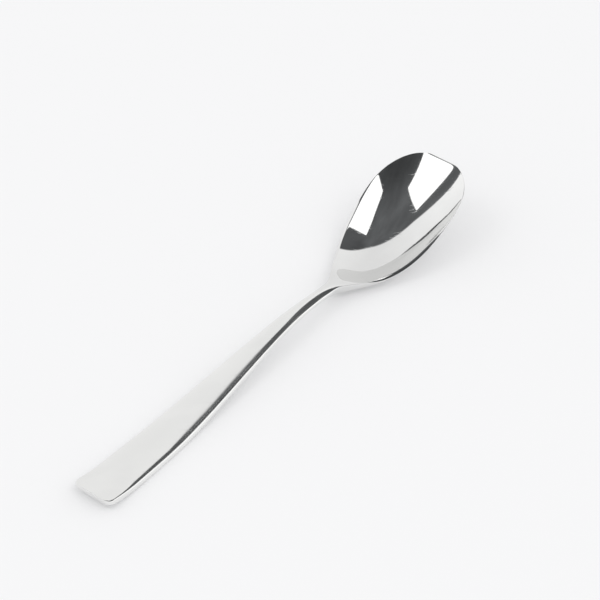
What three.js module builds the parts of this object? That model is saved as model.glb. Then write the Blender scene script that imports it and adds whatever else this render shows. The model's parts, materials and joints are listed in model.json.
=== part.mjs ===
// A tablespoon pressed from one blank of stainless steel.
// Millimetres, +Z up, the table at z = 0. The handle's end points to -X and the bowl's tip to +X.
// Places along the spoon are measured from the handle's end.
import * as THREE from 'three';

// Lengths along the spoon
const HANDLE_LENGTH = 131.5; // from the handle's end to the narrowest place, the neck
const BOWL_LENGTH = 70; // from the neck to the tip
const TAPER_START = 16.5; // stretch of full width at the handle's end
const WIDEST_TO_TIP = 21.6; // from the bowl's widest place to its tip

// Widths seen from above
const HANDLE_END_WIDTH = 17.3;
const END_CORNER_RADIUS = 2.9;
const NECK_WIDTH = 5.4;
const BOWL_WIDTH = 37.7;
const NOSE_WIDTH = 4; // short straight run across the very tip

// How far the bowl's outline runs on before it turns
const FLARE_REACH = 7.1; // along the spoon, past the neck
const BACK_REACH = 29; // along the spoon, before the widest place
const FRONT_REACH = 13.8; // along the spoon, past the widest place
const NOSE_REACH = 9.9; // across the spoon, out from the nose

// The metal across the spoon, from the top down: a domed crown, a slope that leans out from it to
// the outline, an upright edge and a sole. The slope takes its share of the half width, and is
// straight at a fullness of 1 and rounder at more. The sole is level over its flat share.
const END_SECTION = {
  crown: 1.1,
  slope: 1.5,
  upright: 0.2,
  sole: 0.7,
  slopeShare: 0.08,
  slopeFullness: 1,
  soleFlatShare: 0.79,
};
const NECK_SECTION = {
  crown: 2.3,
  slope: 0.3,
  upright: 0.3,
  sole: 2.3,
  slopeShare: 0.08,
  slopeFullness: 1.5,
  soleFlatShare: 0,
};
const BOWL_SECTION = {
  crown: 0,
  slope: 0.6,
  upright: 0.2,
  sole: 0.45,
  slopeShare: 0.04,
  slopeFullness: 1.5,
  soleFlatShare: 0.9,
};
const CROWNING_BEFORE_NECK = 32; // the neck's high crown starts to rise from the handle here
const CROWNING_LENGTH = 24;
const THINNING_BEFORE_NECK = 14; // the neck's thick metal starts to thin towards the bowl here
const THINNING_LENGTH = 34;
const TIP_ROUNDING = 1; // how far from the tip slope and sole are rounded off

// Height of the upright edge above the table, seen from the side
const TURN_LENGTH = 14.5; // stretch of handle that turns up and loses its dome at the end
const REST_LENGTH = 17; // stretch beside it that lies flat on the table
const ARCH_TO_NECK = 22; // from the top of the handle's arch to the neck
const NECK_TO_HEEL = 16; // from the neck to the lowest place of the rim
const END_LIFT = 2; // how far the handle's end is turned up
const REST_EDGE_HEIGHT = END_SECTION.upright + END_SECTION.sole;
const ARCH_EDGE_HEIGHT = 8.55;
const NECK_EDGE_HEIGHT = 6.65;
const HEEL_EDGE_HEIGHT = 4.3;
const SIDE_EDGE_HEIGHT = 15.8;
const TIP_EDGE_HEIGHT = 23.45;

// The dish of the bowl
const DISH_BEFORE_NECK = 0.6; // where the hollow starts
const HEEL_EASE = 2.15; // how gently the hollow starts there: 2 is a plain curve, more is gentler
const TIP_EASE = 1.19; // how gently it ends at the tip: 1 is straight, more is gentler
const HEEL_GATHER = 0.49; // the hollow is gathered in the middle at the heel
const TIP_GATHER = -0.52; // below 0, so it is spread to the sides at the tip

// How finely the curves are cut into flats
const CORNER_ROWS = 8;
const TURN_ROWS = 6;
const REST_ROWS = 1;
const ARCH_ROWS = 34;
const FLARE_ROWS = 24;
const NOSE_ROWS = 18;
const CROWN_FLATS = 14;
const SLOPE_FLATS = 2;

// Places that follow from the lengths
const TIP = HANDLE_LENGTH + BOWL_LENGTH;
const WIDEST = TIP - WIDEST_TO_TIP;
const REST_END = TURN_LENGTH + REST_LENGTH;
const ARCH = HANDLE_LENGTH - ARCH_TO_NECK;
const HEEL = HANDLE_LENGTH + NECK_TO_HEEL;
const DISH = HANDLE_LENGTH - DISH_BEFORE_NECK;
const CROWNING = HANDLE_LENGTH - CROWNING_BEFORE_NECK;
const THINNING = HANDLE_LENGTH - THINNING_BEFORE_NECK;
const FLATS_ACROSS = CROWN_FLATS + 2 * SLOPE_FLATS;

// Rises from 0 to 1 between two places, level at both and with no jump in curvature
function ease(place, from, to) {
  return THREE.MathUtils.smootherstep(place, from, to);
}

// A curve of even curvature through knots of place and height: level at the first, unbent at the last
function smoothLine(knots) {
  const last = knots.length - 1;
  const gap = (i) => knots[i + 1].x - knots[i].x;
  const slope = (i) => (knots[i + 1].y - knots[i].y) / gap(i);
  const pivot = [2 * gap(0)];
  const known = [6 * slope(0)];
  for (let i = 1; i < last; i += 1) {
    const share = gap(i - 1) / pivot[i - 1];
    pivot.push(2 * (gap(i - 1) + gap(i)) - share * gap(i - 1));
    known.push(6 * (slope(i) - slope(i - 1)) - share * known[i - 1]);
  }
  const bend = new Array(last + 1).fill(0);
  for (let i = last - 1; i >= 0; i -= 1) {
    bend[i] = (known[i] - gap(i) * bend[i + 1]) / pivot[i];
  }
  return (place) => {
    const next = knots.findIndex((knot) => knot.x >= place);
    const i = next < 0 ? last - 1 : Math.max(next - 1, 0);
    const ahead = (place - knots[i].x) / gap(i);
    const behind = 1 - ahead;
    const straight = behind * knots[i].y + ahead * knots[i + 1].y;
    const curve = (behind ** 3 - behind) * bend[i] + (ahead ** 3 - ahead) * bend[i + 1];
    return straight + (curve * gap(i) ** 2) / 6;
  };
}

// The edge seen from the side: flat rest, arch, dip at the heel, rim rising to the tip
const sideLine = smoothLine([
  new THREE.Vector2(REST_END, REST_EDGE_HEIGHT),
  new THREE.Vector2(ARCH, ARCH_EDGE_HEIGHT),
  new THREE.Vector2(HANDLE_LENGTH, NECK_EDGE_HEIGHT),
  new THREE.Vector2(HEEL, HEEL_EDGE_HEIGHT),
  new THREE.Vector2(WIDEST, SIDE_EDGE_HEIGHT),
  new THREE.Vector2(TIP, TIP_EDGE_HEIGHT),
]);

function edgeHeight(place) {
  if (place > REST_END) {
    return sideLine(place);
  }
  const turned = Math.max(0, 1 - place / TURN_LENGTH);
  return REST_EDGE_HEIGHT + END_LIFT * turned ** 2;
}

// Half the handle's width, before its corners are rounded
function handleHalfWidth(place) {
  const taper = THREE.MathUtils.smoothstep(place, TAPER_START, HANDLE_LENGTH);
  return THREE.MathUtils.lerp(HANDLE_END_WIDTH, NECK_WIDTH, taper) / 2;
}

// Rows of place and half width along a stretch of the handle, without one at its far end
function handleRows(from, to, count) {
  const rows = [];
  for (let i = 0; i < count; i += 1) {
    const place = THREE.MathUtils.lerp(from, to, i / count);
    rows.push(new THREE.Vector2(place, handleHalfWidth(place)));
  }
  return rows;
}

// The outline seen from above, as rows of place and half width from the handle's end to the tip
function outlineRows() {
  const corner = [];
  for (let i = 0; i < CORNER_ROWS; i += 1) {
    const angle = ((i / CORNER_ROWS) * Math.PI) / 2;
    const place = END_CORNER_RADIUS * (1 - Math.cos(angle));
    const inset = END_CORNER_RADIUS * (1 - Math.sin(angle));
    corner.push(new THREE.Vector2(place, handleHalfWidth(place) - inset));
  }
  const neck = NECK_WIDTH / 2;
  const side = BOWL_WIDTH / 2;
  const nose = NOSE_WIDTH / 2;
  const flare = new THREE.CubicBezierCurve(
    new THREE.Vector2(HANDLE_LENGTH, neck),
    new THREE.Vector2(HANDLE_LENGTH + FLARE_REACH, neck),
    new THREE.Vector2(WIDEST - BACK_REACH, side),
    new THREE.Vector2(WIDEST, side),
  );
  const front = new THREE.CubicBezierCurve(
    new THREE.Vector2(WIDEST, side),
    new THREE.Vector2(WIDEST + FRONT_REACH, side),
    new THREE.Vector2(TIP, nose + NOSE_REACH),
    new THREE.Vector2(TIP, nose),
  );
  return [
    ...corner,
    ...handleRows(END_CORNER_RADIUS, TURN_LENGTH, TURN_ROWS),
    ...handleRows(TURN_LENGTH, REST_END, REST_ROWS),
    ...handleRows(REST_END, HANDLE_LENGTH, ARCH_ROWS),
    ...flare.getPoints(FLARE_ROWS).slice(0, -1),
    ...front.getPoints(NOSE_ROWS),
  ];
}

// The section of the metal at a place: flat on the handle, round at the neck, thin in the bowl
function sectionAt(place) {
  const towardsNeck = ease(place, REST_END, ARCH);
  const crowning = ease(place, CROWNING, CROWNING + CROWNING_LENGTH);
  const towardsBowl = ease(place, THINNING, THINNING + THINNING_LENGTH);
  const section = {};
  for (const size of Object.keys(END_SECTION)) {
    const share = size === 'crown' ? crowning : towardsNeck;
    const handle = THREE.MathUtils.lerp(END_SECTION[size], NECK_SECTION[size], share);
    section[size] = THREE.MathUtils.lerp(handle, BOWL_SECTION[size], towardsBowl);
  }
  section.crown *= ease(place, 0, TURN_LENGTH);
  return section;
}

// How far along the hollow a place is, from 0 at its start to 1 at the tip
function alongDish(place) {
  return Math.max(0, (place - DISH) / (TIP - DISH));
}

// The hollow along the bowl's middle, as a share that starts gently at the heel and ends at the tip
function dishShare(place) {
  const along = alongDish(place);
  return along ** HEEL_EASE * (1 - along) ** TIP_EASE;
}

// The hollow across the bowl: all of it in the middle, none at the outline
function dishAcross(place, across) {
  const gather = THREE.MathUtils.lerp(HEEL_GATHER, TIP_GATHER, alongDish(place));
  return (1 - across ** 2) * (1 - gather * across ** 2);
}

// The bowl is pressed down until its underside meets the table
function dishDepth(rows) {
  let depth = Infinity;
  for (const row of rows) {
    const section = sectionAt(row.x);
    const room = edgeHeight(row.x) - section.upright - section.sole;
    const share = dishShare(row.x);
    depth = share > 0 ? Math.min(depth, room / share) : depth;
  }
  return depth;
}

// A quarter round from 0, at an end of the spoon, to 1 at a stretch away from it
function rounded(distance, stretch) {
  const left = 1 - Math.min(1, distance / stretch);
  return Math.sqrt(1 - left ** 2);
}

// The columns across the spoon, from -1 to 1: narrow ones on both slopes, wider ones over the crown
function columns(slopeShare) {
  const foot = [];
  for (let i = 0; i < SLOPE_FLATS; i += 1) {
    foot.push(1 - (slopeShare * i) / SLOPE_FLATS);
  }
  const crown = [];
  for (let i = 0; i <= CROWN_FLATS; i += 1) {
    crown.push((slopeShare - 1) * Math.cos((i / CROWN_FLATS) * Math.PI));
  }
  return [...foot.map((across) => -across), ...crown, ...foot.reverse()];
}

// Height of crown and slope above the upright edge: full in the middle, none at the outline
function topRise(across, section) {
  const inner = 1 - section.slopeShare;
  const past = Math.max(0, Math.abs(across) - inner) / section.slopeShare;
  const dome = 1 - Math.min(1, Math.abs(across) / inner) ** 2;
  return section.crown * dome + section.slope * (1 - past ** section.slopeFullness);
}

// Drop of the sole across the spoon: full over its flat share, none at the edge
function soleDrop(across, flatShare) {
  return rounded(1 - Math.abs(across), 1 - flatShare);
}

// One closed ring of points round the metal: over the top to +Y, then back along the underside
function ring(row, depth) {
  const section = sectionAt(row.x);
  const tipShare = rounded(TIP - row.x, TIP_ROUNDING);
  const sole = section.sole * tipShare * rounded(row.x, END_CORNER_RADIUS);
  const over = [];
  const under = [];
  for (const across of columns(section.slopeShare)) {
    const pressed = edgeHeight(row.x) - depth * dishShare(row.x) * dishAcross(row.x, across);
    const top = pressed + tipShare * topRise(across, section);
    const foot = pressed - section.upright - sole * soleDrop(across, section.soleFlatShare);
    over.push(new THREE.Vector3(row.x - TIP / 2, row.y * across, top));
    under.unshift(new THREE.Vector3(row.x - TIP / 2, row.y * across, foot));
  }
  return [...over, ...under];
}

// Two triangles for four corners in order, cut along the other diagonal where mirrored is true
function quad(a, b, c, d, mirrored) {
  return mirrored ? [a, b, d, b, c, d] : [a, b, c, a, c, d];
}

// The skin between all rings, closed by a flat face at the handle's end and at the tip
function loft(rings) {
  const round = rings[0].length;
  const index = [];
  for (let i = 0; i + 1 < rings.length; i += 1) {
    for (let j = 0; j < round; j += 1) {
      const near = i * round + j;
      const next = i * round + ((j + 1) % round);
      const mirrored = rings[i][j].y + rings[i][(j + 1) % round].y > 0;
      index.push(...quad(near, near + round, next + round, next, mirrored));
    }
  }
  const lastRing = (rings.length - 1) * round;
  for (let j = 0; j < FLATS_ACROSS; j += 1) {
    const below = round - 1 - j;
    index.push(...quad(j, j + 1, below - 1, below, false));
    index.push(...quad(lastRing + j, lastRing + below, lastRing + below - 1, lastRing + j + 1, false));
  }
  const geometry = new THREE.BufferGeometry().setFromPoints(rings.flat());
  geometry.setIndex(index);
  geometry.computeVertexNormals();
  return geometry;
}

function makeSpoon() {
  const rows = outlineRows();
  const depth = dishDepth(rows);
  const steel = new THREE.MeshStandardMaterial({ color: 0xd8d8d5, roughness: 0.15, metalness: 1 });
  const spoon = new THREE.Mesh(loft(rows.map((row) => ring(row, depth))), steel);
  spoon.name = 'spoon';
  return spoon;
}

const tablespoon = new THREE.Group();
tablespoon.add(makeSpoon());

export default tablespoon;
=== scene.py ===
import json
import math

import bpy
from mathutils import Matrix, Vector

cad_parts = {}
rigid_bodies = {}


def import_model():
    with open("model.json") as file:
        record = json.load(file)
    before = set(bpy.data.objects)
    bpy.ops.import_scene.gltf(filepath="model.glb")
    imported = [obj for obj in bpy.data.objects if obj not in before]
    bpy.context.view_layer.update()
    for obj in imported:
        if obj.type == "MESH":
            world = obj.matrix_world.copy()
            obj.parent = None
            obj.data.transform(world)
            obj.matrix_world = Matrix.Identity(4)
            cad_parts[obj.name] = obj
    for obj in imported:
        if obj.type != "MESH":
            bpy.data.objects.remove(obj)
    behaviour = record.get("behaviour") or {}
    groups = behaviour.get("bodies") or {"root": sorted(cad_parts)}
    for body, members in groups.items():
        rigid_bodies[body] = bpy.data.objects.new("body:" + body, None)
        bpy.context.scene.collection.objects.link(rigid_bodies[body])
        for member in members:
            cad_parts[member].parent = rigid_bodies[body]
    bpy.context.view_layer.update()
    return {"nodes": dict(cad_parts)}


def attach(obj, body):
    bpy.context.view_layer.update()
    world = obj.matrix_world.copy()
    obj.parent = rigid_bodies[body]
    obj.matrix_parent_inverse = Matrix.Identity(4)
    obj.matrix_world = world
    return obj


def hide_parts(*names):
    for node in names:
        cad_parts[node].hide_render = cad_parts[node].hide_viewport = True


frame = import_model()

bl_info = {
    "name": "Tablespoon",
    "version": (1, 0, 0),
    "blender": (4, 5, 0),
    "location": "View3D > Sidebar > Tablespoon",
    "description": "Makes a one-piece stainless-steel tablespoon and the table it is photographed on",
    "category": "Object",
}

# The camera in the spoon's frame: place and aim in metres, lens and sensor in millimetres, and its
# level directions ahead and to the right
CAMERA_PLACE = Vector((-0.47566, -0.38862, 0.56145))
CAMERA_AIM = Vector((0.02371, 0.00875, 0.0))
LENS = 137.3
SENSOR = 36.0
AHEAD = Vector((CAMERA_AIM.x - CAMERA_PLACE.x, CAMERA_AIM.y - CAMERA_PLACE.y, 0.0)).normalized()
RIGHT = Vector((AHEAD.y, -AHEAD.x, 0.0))

# Soft boxes, in metres: place, and the corners of the lit face, across and up as seen from behind the box
BOWL_MIDDLE = Vector((0.07575, 0.0, 0.01))
SOFT_BOXES = {
    "left": (Vector((-1.077, 1.002, 2.052)), ((-0.55, 0.26), (-0.30, -0.52), (0.68, -0.52), (0.47, 0.60))),
    "right": (Vector((0.420, -1.410, 2.106)), ((-0.46, 0.30), (-0.54, -0.66), (0.62, -0.66), (0.59, 0.67))),
}

# The dark screen, a dome round the table with its radius in metres. Its edge and its dimming are angles
# up from straight ahead and over to the back, and its foot is an angle up from the table. Across it, -1 is
# the camera's far left and 1 the far right, where the edge falls away and the screen is dimmer
SCREEN_RADIUS = 5.0
SCREEN_SEGMENTS = 128
SCREEN_RINGS = 64
SCREEN_EDGE = math.radians(70.5)
SCREEN_EDGE_BLUR = math.radians(1.5)
SCREEN_FALL = math.radians(60.0)
SCREEN_FALL_START = 0.15
SCREEN_DIM_START = math.radians(95.0)
SCREEN_DIM_END = math.radians(122.0)
SCREEN_DIM_SIDE = (0.22, 0.45)
SCREEN_FOOT_START = math.radians(7.0)
SCREEN_FOOT_END = math.radians(10.5)

TABLE_ROUGHNESS = 0.7

# Along the spoon, in metres: where the satin of the handle ends and the mirror of the bowl begins
SATIN_END = 0.018
MIRROR_START = 0.036

# Noise of the marks on the steel and of the screen's folds: its turn about the upright axis in radians,
# how often it changes in a metre along each axis, and its detail
GRAIN = {"turn": 0.0, "scale": (60.0, 2400.0, 2400.0), "detail": 3.0}
SMEARS = {"turn": 0.5, "scale": (60.0, 110.0, 110.0), "detail": 3.0}
SCRATCHES = {"turn": 0.9, "scale": (110.0, 2600.0, 300.0), "detail": 1.0}
FOLDS = {"turn": 0.0, "scale": (0.6, 0.6, 0.6), "detail": 3.0}

# Ranges of that noise that show, and the factors by which they change a colour, a roughness or a glow
BROAD_NOISE = (0.3, 0.7)
SHADE_NOISE = (0.35, 0.65)
SCRATCH_NOISE = (0.66, 0.74)
SMEAR_SHADES = (0.97, 1.0)
SMEAR_ROUGHNESS = (0.85, 1.15)
GRAIN_ROUGHNESS = (0.9, 1.1)
FOLD_SHADES = (0.85, 1.17)

# The edges are finished finer than the solid's. Each span or taper below is a stretch along the spoon, and
# each ease the length over which a change fades beside its span, all in metres
SPAN_EASE = 0.010

# Sloping walls of the handle: their height at its end and at the neck, in metres, and the share of that
# height by which they lean in
END_WALL = 0.0020
NECK_WALL = 0.0013
WALL_LEAN = 0.58
NECK_LEAN = 0.66
WALL_SPAN = (-0.062, 0.025)
WALL_EASE = 0.045
WALL_TAPER = (-0.065, 0.010)

# Crown of the handle: its fullness, where 1 is the solid's own and less is fuller, and the shares of its
# height that it keeps in the middle of the handle and at the neck
CROWN_FULLNESS = 0.7
NECK_FULLNESS = 0.95
MIDDLE_CROWN = 0.82
NECK_CROWN = 0.48
CROWN_SPAN = (-0.0965, 0.030)
CROWN_EASE = 0.018
END_EASE = 0.004
MIDDLE_TAPER = (-0.060, -0.038)
NECK_TAPER = (0.002, 0.020)

# Rim of the bowl: how much wider and deeper its slope is beside the middle of the bowl, in metres, and the
# share of the slope's width that is left out at the tip and over the heel
RIM_GROWTH = 0.0005
RIM_DROP = 0.0005
RIM_SPAN = (0.050, 0.066)
RIM_FINENESS = 0.65
TIP_SPAN = (0.084, 0.110)

# Heel of the bowl: how high its underside lies above the table, in metres, and how square it is across
HEEL_SOLE = 0.0012
HEEL_SQUARENESS = 3.0
HEEL_SPAN = (0.038, 0.044)
HEEL_EASE = 0.014

# Slope from the upright edge to the top: its steps from column to column, and how roundly it rises
SLOPE_COLUMNS = 2
SLOPE_FULLNESS = 1.4

# The ring that closes the handle's end lies before this place and stays as the solid has it
FINISH_START = CROWN_SPAN[0] - END_EASE

# Points of the solid nearer than this are one point or of one ring, in metres, or of one column, in half
# widths, and the faces of the skin are split and smoothed this many times
MERGE_GAP = 0.00001
RING_GAP = 0.00001
COLUMN_GAP = 0.005
SMOOTH_LEVELS = 2


class SteelSettings(bpy.types.PropertyGroup):
    """Colours and finish of the steel"""

    bowl_colour: bpy.props.FloatVectorProperty(
        name="Bowl",
        description="Reflected colour of the mirror-polished bowl",
        size=3,
        default=(0.79, 0.79, 0.785),
        min=0.0,
        max=1.0,
        subtype="COLOR",
    )
    handle_colour: bpy.props.FloatVectorProperty(
        name="Handle",
        description="Reflected colour of the satin handle",
        size=3,
        default=(0.86, 0.86, 0.85),
        min=0.0,
        max=1.0,
        subtype="COLOR",
    )
    bowl_roughness: bpy.props.FloatProperty(
        name="Bowl roughness",
        description="Blur of the reflections in the mirror-polished bowl",
        default=0.05,
        min=0.0,
        max=1.0,
        subtype="FACTOR",
    )
    handle_roughness: bpy.props.FloatProperty(
        name="Handle roughness",
        description="Blur of the reflections on the satin handle",
        default=0.13,
        min=0.0,
        max=1.0,
        subtype="FACTOR",
    )
    scratch_roughness: bpy.props.FloatProperty(
        name="Scratch roughness",
        description="Blur that the hair scratches add, so that they catch the light",
        default=0.07,
        min=0.0,
        max=1.0,
        subtype="FACTOR",
    )
    grain_height: bpy.props.FloatProperty(
        name="Grain height",
        description="Depth of the polishing grain and of the scratches",
        default=0.000003,
        min=0.0,
        precision=6,
        unit="LENGTH",
    )


class StudioSettings(bpy.types.PropertyGroup):
    """The table, the sweep, the screen and the lamps"""

    table_colour: bpy.props.FloatVectorProperty(
        name="Table",
        description="Colour of the pale table top",
        size=3,
        default=(0.83, 0.83, 0.837),
        min=0.0,
        max=1.0,
        subtype="COLOR",
    )
    table_white: bpy.props.FloatVectorProperty(
        name="Table white",
        description="White that the table shows by itself",
        size=3,
        default=(0.935, 0.938, 0.945),
        min=0.0,
        max=1.0,
        subtype="COLOR",
    )
    table_own_white: bpy.props.FloatProperty(
        name="Table own white",
        description="Share of the table's white that shows by itself, so that its shadows stay pale",
        default=0.25,
        min=0.0,
        max=1.0,
        subtype="FACTOR",
    )
    table_width: bpy.props.FloatProperty(
        name="Table width",
        description="Length of each side of the table top",
        default=12.0,
        min=1.0,
        unit="LENGTH",
    )
    sweep_colour: bpy.props.FloatVectorProperty(
        name="Sweep",
        description="Colour of the white sweep round the table",
        size=3,
        default=(0.914, 0.914, 0.914),
        min=0.0,
        max=1.0,
        subtype="COLOR",
    )
    sweep_side_gain: bpy.props.FloatProperty(
        name="Sweep side gain",
        description="How much brighter the sweep is at the camera's far left and right than ahead",
        default=0.35,
        min=0.0,
        max=1.0,
        subtype="FACTOR",
    )
    screen_colour: bpy.props.FloatVectorProperty(
        name="Screen",
        description="Tint of the dark screen",
        size=3,
        default=(0.94, 0.97, 1.0),
        min=0.0,
        max=1.0,
        subtype="COLOR",
    )
    screen_front: bpy.props.FloatProperty(
        name="Screen front",
        description="Brightness of the dark screen near its front edge, where 1 is white",
        default=0.134,
        min=0.0,
        max=1.0,
        subtype="FACTOR",
    )
    screen_right: bpy.props.FloatProperty(
        name="Screen right",
        description="Brightness of the dark screen at the camera's right, where 1 is white",
        default=0.1,
        min=0.0,
        max=1.0,
        subtype="FACTOR",
    )
    screen_back: bpy.props.FloatProperty(
        name="Screen back",
        description="Brightness of the dark screen behind the camera, where 1 is white",
        default=0.064,
        min=0.0,
        max=1.0,
        subtype="FACTOR",
    )
    lamp_radiance: bpy.props.FloatProperty(
        name="Lamp brightness",
        description="Brightness of the soft boxes, where 1 is white",
        default=1.5,
        min=0.0,
    )


def deselect_all():
    bpy.ops.object.select_all(action="DESELECT")


def select_only(obj):
    """Makes an object the one that is selected and active"""
    deselect_all()
    obj.select_set(True)
    bpy.context.view_layer.objects.active = obj


def turn_towards(place, aim):
    """The turn of a lamp or camera at a place that looks at its aim"""
    return (aim - place).to_track_quat("-Z", "Y").to_euler()


def add_node(tree, kind, inputs, **settings):
    """Adds a node: each input is a value to set or an output to join on"""
    node = tree.nodes.new(kind)
    for name, value in settings.items():
        setattr(node, name, value)
    for socket, value in inputs.items():
        if isinstance(value, bpy.types.NodeSocket):
            tree.links.new(value, node.inputs[socket])
        else:
            node.inputs[socket].default_value = value
    return node


def set_surface(tree, shader):
    tree.links.new(shader, tree.nodes["Material Output"].inputs["Surface"])


def calculate(tree, operation, first, second):
    return add_node(tree, "ShaderNodeMath", {0: first, 1: second}, operation=operation).outputs[0]


def squared(tree, value):
    return calculate(tree, "MULTIPLY", value, value)


def remap(tree, value, low, high, to_low, to_high):
    """Eases a value from one range into another, and holds it at the ends"""
    ends = {"Value": value, "From Min": low, "From Max": high, "To Min": to_low, "To Max": to_high}
    return add_node(tree, "ShaderNodeMapRange", ends, interpolation_type="SMOOTHSTEP").outputs["Result"]


def streaks(tree, place, turn, scale, detail):
    """Noise drawn out into streaks: a turn about the upright axis, then a scale along each axis"""
    turned = add_node(tree, "ShaderNodeMapping", {"Vector": place, "Rotation": (0.0, 0.0, turn)})
    drawn = add_node(tree, "ShaderNodeMapping", {"Vector": turned.outputs["Vector"], "Scale": scale})
    noise = {"Vector": drawn.outputs["Vector"], "Scale": 1.0, "Detail": detail}
    return add_node(tree, "ShaderNodeTexNoise", noise).outputs["Fac"]


def make_steel(settings):
    """Satin along the handle and a mirror in the bowl, with grain, smears and hair scratches"""
    steel = bpy.data.materials.new("polished_steel")
    steel.use_nodes = True
    tree = steel.node_tree
    shader = tree.nodes["Principled BSDF"]
    shader.inputs["Metallic"].default_value = 1.0
    place = add_node(tree, "ShaderNodeTexCoord", {}).outputs["Object"]
    along = add_node(tree, "ShaderNodeSeparateXYZ", {"Vector": place}).outputs["X"]
    mirror = remap(tree, along, SATIN_END, MIRROR_START, 0.0, 1.0)
    satin = calculate(tree, "SUBTRACT", 1.0, mirror)
    grain = streaks(tree, place, **GRAIN)
    smear = streaks(tree, place, **SMEARS)
    scratch = remap(tree, streaks(tree, place, **SCRATCHES), *SCRATCH_NOISE, 0.0, 1.0)

    # Colour: sockets 6 and 7 are the two colours of the mix, and the smears dull it a little
    ends = {0: mirror, 6: (*settings.handle_colour, 1.0), 7: (*settings.bowl_colour, 1.0)}
    colour = add_node(tree, "ShaderNodeMix", ends, data_type="RGBA").outputs[2]
    shade = remap(tree, smear, *SHADE_NOISE, *SMEAR_SHADES)
    shaded = add_node(tree, "ShaderNodeVectorMath", {"Vector": colour, "Scale": shade}, operation="SCALE")
    tree.links.new(shaded.outputs["Vector"], shader.inputs["Base Color"])

    # Roughness: the finish of each end, uneven along the grain and the smears, and duller in scratches
    finish = remap(tree, mirror, 0.0, 1.0, settings.handle_roughness, settings.bowl_roughness)
    uneven = calculate(tree, "MULTIPLY", finish, remap(tree, smear, *BROAD_NOISE, *SMEAR_ROUGHNESS))
    brushed = calculate(tree, "MULTIPLY", uneven, remap(tree, grain, *BROAD_NOISE, *GRAIN_ROUGHNESS))
    scored = calculate(tree, "ADD", brushed, calculate(tree, "MULTIPLY", scratch, settings.scratch_roughness))
    tree.links.new(scored, shader.inputs["Roughness"])

    # Relief: the grain on the satin, and hair scratches cut into all of it
    ridges = calculate(tree, "MULTIPLY", grain, satin)
    relief = calculate(tree, "SUBTRACT", ridges, scratch)
    bump = add_node(tree, "ShaderNodeBump", {"Height": relief, "Distance": settings.grain_height})
    tree.links.new(bump.outputs["Normal"], shader.inputs["Normal"])
    return steel


def grouped(items, measure, gap):
    """Sorts items by a measure and parts them wherever it grows by more than the gap"""
    groups = []
    last = -math.inf
    for item in sorted(items, key=measure):
        if measure(item) - last > gap:
            groups.append([])
        groups[-1].append(item)
        last = measure(item)
    return groups


def lattice(mesh):
    """The skin as rings along the spoon, each of columns across it, each with its bottom point first"""
    rings = []
    for ring in grouped(mesh.vertices, lambda vertex: vertex.co.x, RING_GAP):
        half = max(abs(vertex.co.y) for vertex in ring)
        columns = grouped(ring, lambda vertex: vertex.co.y / half, COLUMN_GAP)
        rings.append([sorted(column, key=lambda vertex: vertex.co.z) for column in columns])
    return rings


def select_diagonals(mesh):
    """Selects the edges that cut the skin's four-cornered faces into triangles"""
    address = {}
    for place, ring in enumerate(lattice(mesh)):
        for across, column in enumerate(ring):
            for level, vertex in enumerate(column):
                address[vertex.index] = (place, across, level)
    for edge in mesh.edges:
        first, second = (address[index] for index in edge.vertices)
        changes = sum(a != b for a, b in zip(first, second))
        edge.select = changes > 1


def copy_solid(context):
    """A copy of the solid, its loose triangles merged into one skin"""
    select_only(frame["nodes"]["spoon"])
    bpy.ops.object.duplicate()
    spoon = context.view_layer.objects.active
    spoon.name = "pressed_spoon"
    bpy.ops.object.parent_clear(type="CLEAR_KEEP_TRANSFORM")
    bpy.ops.object.mode_set(mode="EDIT")
    bpy.ops.mesh.select_all(action="SELECT")
    bpy.ops.mesh.remove_doubles(threshold=MERGE_GAP)
    bpy.ops.object.mode_set(mode="OBJECT")
    return spoon


def join_triangles(spoon):
    """Joins the triangles of the skin into four-cornered faces, which smooth evenly"""
    bpy.ops.object.mode_set(mode="EDIT")
    bpy.ops.mesh.select_mode(type="EDGE")
    bpy.ops.mesh.select_all(action="DESELECT")
    bpy.ops.object.mode_set(mode="OBJECT")
    select_diagonals(spoon.data)
    bpy.ops.object.mode_set(mode="EDIT")
    bpy.ops.mesh.dissolve_edges(use_verts=False)
    bpy.ops.object.mode_set(mode="OBJECT")
    if any(len(face.vertices) != 4 for face in spoon.data.polygons):
        raise RuntimeError("the skin of the spoon isn't all four-cornered faces")


def eased(value, low, high):
    """Grows smoothly from 0 at the low end to 1 at the high end, and holds there"""
    share = min(max((value - low) / (high - low), 0.0), 1.0)
    return share * share * (3.0 - 2.0 * share)


def tapered(along, taper, start, end):
    """Goes smoothly from the start to the end over a taper along the spoon"""
    return start + (end - start) * eased(along, *taper)


def within(along, span, start_ease, end_ease):
    """Full inside a span along the spoon, and eased to nothing before and after it"""
    start, end = span
    return eased(along, start - start_ease, start) * (1.0 - eased(along, end, end + end_ease))


class Ring:
    """One ring of the skin: its columns, its place along the spoon, and its measures as the solid has them"""

    def __init__(self, columns):
        self.columns = columns
        self.along = columns[0][0].co.x
        self.half = max(column[0].co.y for column in columns)
        self.sole = min(column[0].co.z for column in columns)
        self.foot, self.edge = (vertex.co.z for vertex in columns[0])
        inner, self.top = columns[SLOPE_COLUMNS][-1].co.yz
        self.inset = self.half - abs(inner)


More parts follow.
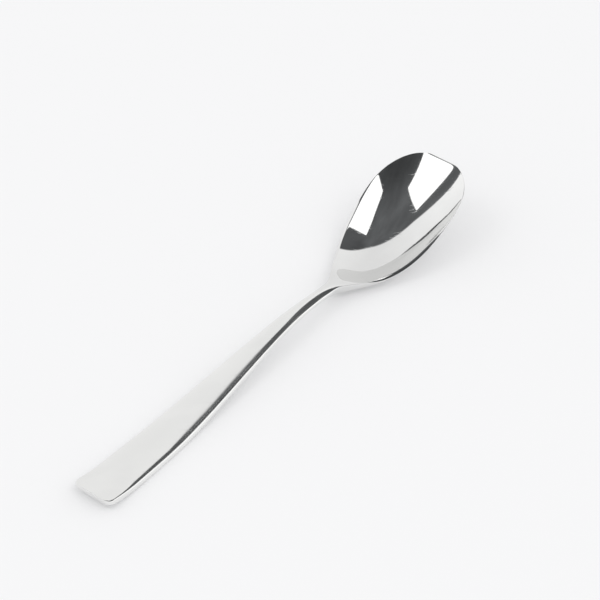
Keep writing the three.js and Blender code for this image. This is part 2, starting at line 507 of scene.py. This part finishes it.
def slope_change(ring):
    """How much further down and how much further in the slopes of a ring reach than the solid's"""
    wall = within(ring.along, WALL_SPAN, WALL_EASE, SPAN_EASE)
    rim = within(ring.along, RIM_SPAN, SPAN_EASE, SPAN_EASE)
    tip = within(ring.along, TIP_SPAN, SPAN_EASE, SPAN_EASE)
    heel = within(ring.along, HEEL_SPAN, HEEL_EASE, HEEL_EASE)
    height = tapered(ring.along, WALL_TAPER, END_WALL, NECK_WALL)
    lean = tapered(ring.along, NECK_TAPER, WALL_LEAN, NECK_LEAN)
    drop = wall * max(height - (ring.top - ring.edge), 0.0) + rim * RIM_DROP
    growth = wall * max(height * lean - ring.inset, 0.0) + rim * RIM_GROWTH
    growth -= max(tip, heel - wall - rim, 0.0) * RIM_FINENESS * ring.inset
    return drop, growth


def dome_crown(ring):
    """Makes the crown of the handle fuller, and lower in the middle and at the neck"""
    domed = within(ring.along, CROWN_SPAN, END_EASE, CROWN_EASE)
    if not domed:
        return
    fullness = tapered(ring.along, NECK_TAPER, CROWN_FULLNESS, NECK_FULLNESS)
    fullness = 1.0 - domed * (1.0 - fullness)
    share = tapered(ring.along, MIDDLE_TAPER, 1.0, MIDDLE_CROWN)
    share -= tapered(ring.along, NECK_TAPER, 0.0, MIDDLE_CROWN - NECK_CROWN)
    share = 1.0 - domed * (1.0 - share)
    crown = max(column[-1].co.z for column in ring.columns) - ring.top
    for column in ring.columns[SLOPE_COLUMNS + 1 : -SLOPE_COLUMNS - 1]:
        upper = column[-1].co
        if upper.z > ring.top:
            upper.z = ring.top + crown * share * ((upper.z - ring.top) / crown) ** fullness


def fill_sole(ring, drop):
    """Lowers the outer edge of the sole by the drop, and fills the sole out to the heel of the bowl"""
    heel = within(ring.along, HEEL_SPAN, HEEL_EASE, HEEL_EASE)
    foot = ring.foot - drop
    for column in ring.columns:
        bottom = column[0].co
        if drop:
            bottom.z = ring.sole + (bottom.z - ring.sole) * (foot - ring.sole) / (ring.foot - ring.sole)
        if heel:
            depth = (1.0 - abs(bottom.y / ring.half) ** HEEL_SQUARENESS) ** (1.0 / HEEL_SQUARENESS)
            deep = foot - (foot - HEEL_SOLE) * depth
            bottom.z += heel * min(deep - bottom.z, 0.0)


def reach_slopes(ring, drop, growth):
    """Lets the slopes on both sides reach further down and in, and fits the top between them"""
    last = len(ring.columns) - 1
    for index, column in enumerate(ring.columns):
        upper = column[-1].co
        steps = min(index, last - index)
        if steps > SLOPE_COLUMNS:
            upper.y *= (ring.half - ring.inset - growth) / (ring.half - ring.inset)
            continue
        past = 1.0 - steps / SLOPE_COLUMNS
        upper.y = math.copysign(ring.half - (ring.inset + growth) * (1.0 - past), upper.y)
        upper.z = ring.top - (ring.top - ring.edge + drop) * past**SLOPE_FULLNESS


def finish_edges(mesh):
    """Finishes walls, crown, rim and heel along the spoon, all but the ring that closes the handle's end"""
    for columns in lattice(mesh):
        if columns[0][0].co.x <= FINISH_START:
            continue
        ring = Ring(columns)
        drop, growth = slope_change(ring)
        dome_crown(ring)
        fill_sole(ring, drop)
        reach_slopes(ring, drop, growth)


class TABLESPOON_OT_press_spoon(bpy.types.Operator):
    """Press the spoon: a smooth copy of the solid, in polished steel"""

    bl_idname = "tablespoon.press_spoon"
    bl_label = "Press the spoon"

    def execute(self, context):
        spoon = copy_solid(context)
        join_triangles(spoon)
        finish_edges(spoon.data)
        smooth = spoon.modifiers.new("smooth", "SUBSURF")
        smooth.levels = SMOOTH_LEVELS
        smooth.render_levels = SMOOTH_LEVELS
        bpy.ops.object.modifier_apply(modifier=smooth.name)
        bpy.ops.object.shade_smooth()
        spoon.data.materials.clear()
        spoon.data.materials.append(make_steel(context.scene.tablespoon_steel))
        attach(spoon, "root")
        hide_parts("spoon")
        return {"FINISHED"}


def make_table_paper(settings):
    """White paper, part of whose white shows by itself to the camera and to the steel, for pale shadows"""
    paper = bpy.data.materials.new("table_paper")
    paper.use_nodes = True
    tree = paper.node_tree
    shader = tree.nodes["Principled BSDF"]
    shader.inputs["Base Color"].default_value = (*settings.table_colour, 1.0)
    shader.inputs["Roughness"].default_value = TABLE_ROUGHNESS
    shader.inputs["Specular IOR Level"].default_value = 0.0
    rays = add_node(tree, "ShaderNodeLightPath", {}).outputs
    seen = calculate(tree, "MAXIMUM", rays["Is Camera Ray"], rays["Is Glossy Ray"])
    share = calculate(tree, "MULTIPLY", seen, settings.table_own_white)
    white = add_node(tree, "ShaderNodeEmission", {"Color": (*settings.table_white, 1.0)}).outputs["Emission"]
    mixed = add_node(tree, "ShaderNodeMixShader", {0: share, 1: shader.outputs["BSDF"], 2: white})
    set_surface(tree, mixed.outputs["Shader"])
    return paper


def lay_table_top(context, settings):
    """The pale table top that the spoon lies on"""
    deselect_all()
    bpy.ops.mesh.primitive_plane_add(size=settings.table_width)
    table = context.view_layer.objects.active
    table.name = "table_top"
    table.data.materials.append(make_table_paper(settings))


def new_cloth(name):
    """A material for cloth that glows, with nothing joined to its surface yet"""
    cloth = bpy.data.materials.new(name)
    cloth.use_nodes = True
    nodes = cloth.node_tree.nodes
    nodes.remove(nodes["Principled BSDF"])
    return cloth


def show_in_steel_only(obj):
    """Leaves an object to the mirror of the steel: the camera and the table don't see it"""
    obj.visible_camera = False
    obj.visible_diffuse = False
    obj.visible_shadow = False


def make_screen_cloth(settings):
    """Dark cloth past the screen's edge and nothing before it, uneven, and dimmer behind the camera"""
    cloth = new_cloth("dark_screen_cloth")
    tree = cloth.node_tree
    place = add_node(tree, "ShaderNodeTexCoord", {}).outputs["Object"]
    axes = add_node(tree, "ShaderNodeSeparateXYZ", {"Vector": place}).outputs
    angle = calculate(tree, "ARCTAN2", axes["Z"], axes["Y"])
    side = calculate(tree, "DIVIDE", axes["X"], SCREEN_RADIUS)
    height = calculate(tree, "DIVIDE", axes["Z"], SCREEN_RADIUS)

    # Cover: past the edge, which falls away to the right, and above the foot
    outward = calculate(tree, "MAXIMUM", calculate(tree, "SUBTRACT", side, SCREEN_FALL_START), 0.0)
    fall = calculate(tree, "MULTIPLY", squared(tree, outward), SCREEN_FALL)
    past_edge = calculate(tree, "SUBTRACT", calculate(tree, "ADD", angle, fall), SCREEN_EDGE)
    cover = remap(tree, past_edge, -SCREEN_EDGE_BLUR, SCREEN_EDGE_BLUR, 0.0, 1.0)
    above_foot = remap(tree, height, math.sin(SCREEN_FOOT_START), math.sin(SCREEN_FOOT_END), 0.0, 1.0)
    cover = calculate(tree, "MULTIPLY", cover, above_foot)

    # Glow: dimmer to the back and to the right, and uneven from fold to fold
    front = settings.screen_front
    glow_behind = remap(tree, angle, SCREEN_DIM_START, SCREEN_DIM_END, front, settings.screen_back)
    glow_beside = remap(tree, side, *SCREEN_DIM_SIDE, front, settings.screen_right)
    glow = calculate(tree, "MINIMUM", glow_behind, glow_beside)
    folds = remap(tree, streaks(tree, place, **FOLDS), *BROAD_NOISE, *FOLD_SHADES)
    glow = calculate(tree, "MULTIPLY", glow, folds)

    tinted = {"Color": (*settings.screen_colour, 1.0), "Strength": glow}
    dark = add_node(tree, "ShaderNodeEmission", tinted).outputs["Emission"]
    clear = add_node(tree, "ShaderNodeBsdfTransparent", {}).outputs["BSDF"]
    mixed = add_node(tree, "ShaderNodeMixShader", {0: cover, 1: clear, 2: dark})
    set_surface(tree, mixed.outputs["Shader"])
    return cloth


def hang_dark_screen(context, settings):
    """The dark side of the room, overhead and behind the camera, which only the steel mirrors"""
    deselect_all()
    bpy.ops.mesh.primitive_uv_sphere_add(
        segments=SCREEN_SEGMENTS,
        ring_count=SCREEN_RINGS,
        radius=SCREEN_RADIUS,
        location=(BOWL_MIDDLE.x, BOWL_MIDDLE.y, 0.0),
        rotation=(0.0, 0.0, math.atan2(RIGHT.y, RIGHT.x)),
    )
    screen = context.view_layer.objects.active
    screen.name = "dark_screen"
    bpy.ops.object.shade_smooth()
    screen.data.materials.append(make_screen_cloth(settings))
    show_in_steel_only(screen)


def hang_sweep(context, settings):
    """The white sweep round the table, a little brighter to both sides"""
    world = bpy.data.worlds.new("white_sweep")
    world.use_nodes = True
    tree = world.node_tree
    direction = add_node(tree, "ShaderNodeTexCoord", {}).outputs["Generated"]
    across = add_node(tree, "ShaderNodeVectorMath", {0: direction, 1: RIGHT}, operation="DOT_PRODUCT")
    sides = squared(tree, across.outputs["Value"])
    gain = calculate(tree, "ADD", calculate(tree, "MULTIPLY", sides, settings.sweep_side_gain), 1.0)
    background = tree.nodes["Background"]
    background.inputs["Color"].default_value = (*settings.sweep_colour, 1.0)
    tree.links.new(gain, background.inputs["Strength"])
    context.scene.world = world


def make_soft_box_cloth(name, radiance):
    """White cloth that glows evenly"""
    cloth = new_cloth(f"soft_box_cloth_{name}")
    light = add_node(cloth.node_tree, "ShaderNodeEmission", {"Strength": radiance})
    set_surface(cloth.node_tree, light.outputs["Emission"])
    return cloth


def hang_soft_box(context, name, place, corners, radiance):
    """A lamp for the table, and the lit face that the steel mirrors in its place"""
    turn = turn_towards(place, BOWL_MIDDLE)
    deselect_all()
    bpy.ops.mesh.primitive_circle_add(
        vertices=len(corners), fill_type="NGON", location=place, rotation=turn
    )
    face = context.view_layer.objects.active
    face.name = f"soft_box_face_{name}"
    for vertex, (across, up) in zip(face.data.vertices, corners):
        vertex.co = (across, up, 0.0)
    face.data.update()
    face.data.materials.append(make_soft_box_cloth(name, radiance))
    show_in_steel_only(face)
    area = face.data.polygons[0].area
    deselect_all()
    bpy.ops.object.light_add(type="AREA", location=place, rotation=turn)
    lamp = context.view_layer.objects.active
    lamp.name = f"soft_box_{name}"
    lamp.data.size = math.sqrt(area)
    lamp.data.energy = radiance * math.pi * area
    lamp.visible_glossy = False


def place_camera(context):
    """The camera that looks down on the spoon, and the plain view of its picture"""
    deselect_all()
    bpy.ops.object.camera_add(location=CAMERA_PLACE, rotation=turn_towards(CAMERA_PLACE, CAMERA_AIM))
    camera = context.view_layer.objects.active
    camera.data.lens = LENS
    camera.data.sensor_width = SENSOR
    context.scene.camera = camera
    context.scene.view_settings.view_transform = "Standard"


class TABLESPOON_OT_lay_table(bpy.types.Operator):
    """Lay the table: table top, dark screen, sweep, soft boxes and camera"""

    bl_idname = "tablespoon.lay_table"
    bl_label = "Lay the table"

    def execute(self, context):
        settings = context.scene.tablespoon_studio
        lay_table_top(context, settings)
        hang_dark_screen(context, settings)
        hang_sweep(context, settings)
        for name, (place, corners) in SOFT_BOXES.items():
            hang_soft_box(context, name, place, corners, settings.lamp_radiance)
        place_camera(context)
        return {"FINISHED"}


class TABLESPOON_PT_panel(bpy.types.Panel):
    """Lists the steps that make the tablespoon and its table"""

    bl_idname = "TABLESPOON_PT_panel"
    bl_label = "Tablespoon"
    bl_space_type = "VIEW_3D"
    bl_region_type = "UI"
    bl_category = "Tablespoon"

    def draw(self, context):
        self.layout.operator(TABLESPOON_OT_press_spoon.bl_idname)
        self.layout.operator(TABLESPOON_OT_lay_table.bl_idname)


CLASSES = (
    SteelSettings,
    StudioSettings,
    TABLESPOON_OT_press_spoon,
    TABLESPOON_OT_lay_table,
    TABLESPOON_PT_panel,
)


def register():
    for cls in CLASSES:
        bpy.utils.register_class(cls)
    bpy.types.Scene.tablespoon_steel = bpy.props.PointerProperty(type=SteelSettings)
    bpy.types.Scene.tablespoon_studio = bpy.props.PointerProperty(type=StudioSettings)


def unregister():
    del bpy.types.Scene.tablespoon_studio
    del bpy.types.Scene.tablespoon_steel
    for cls in reversed(CLASSES):
        bpy.utils.unregister_class(cls)


def main():
    register()
    bpy.ops.tablespoon.press_spoon()
    bpy.ops.tablespoon.lay_table()


if __name__ == "__main__":
    main()
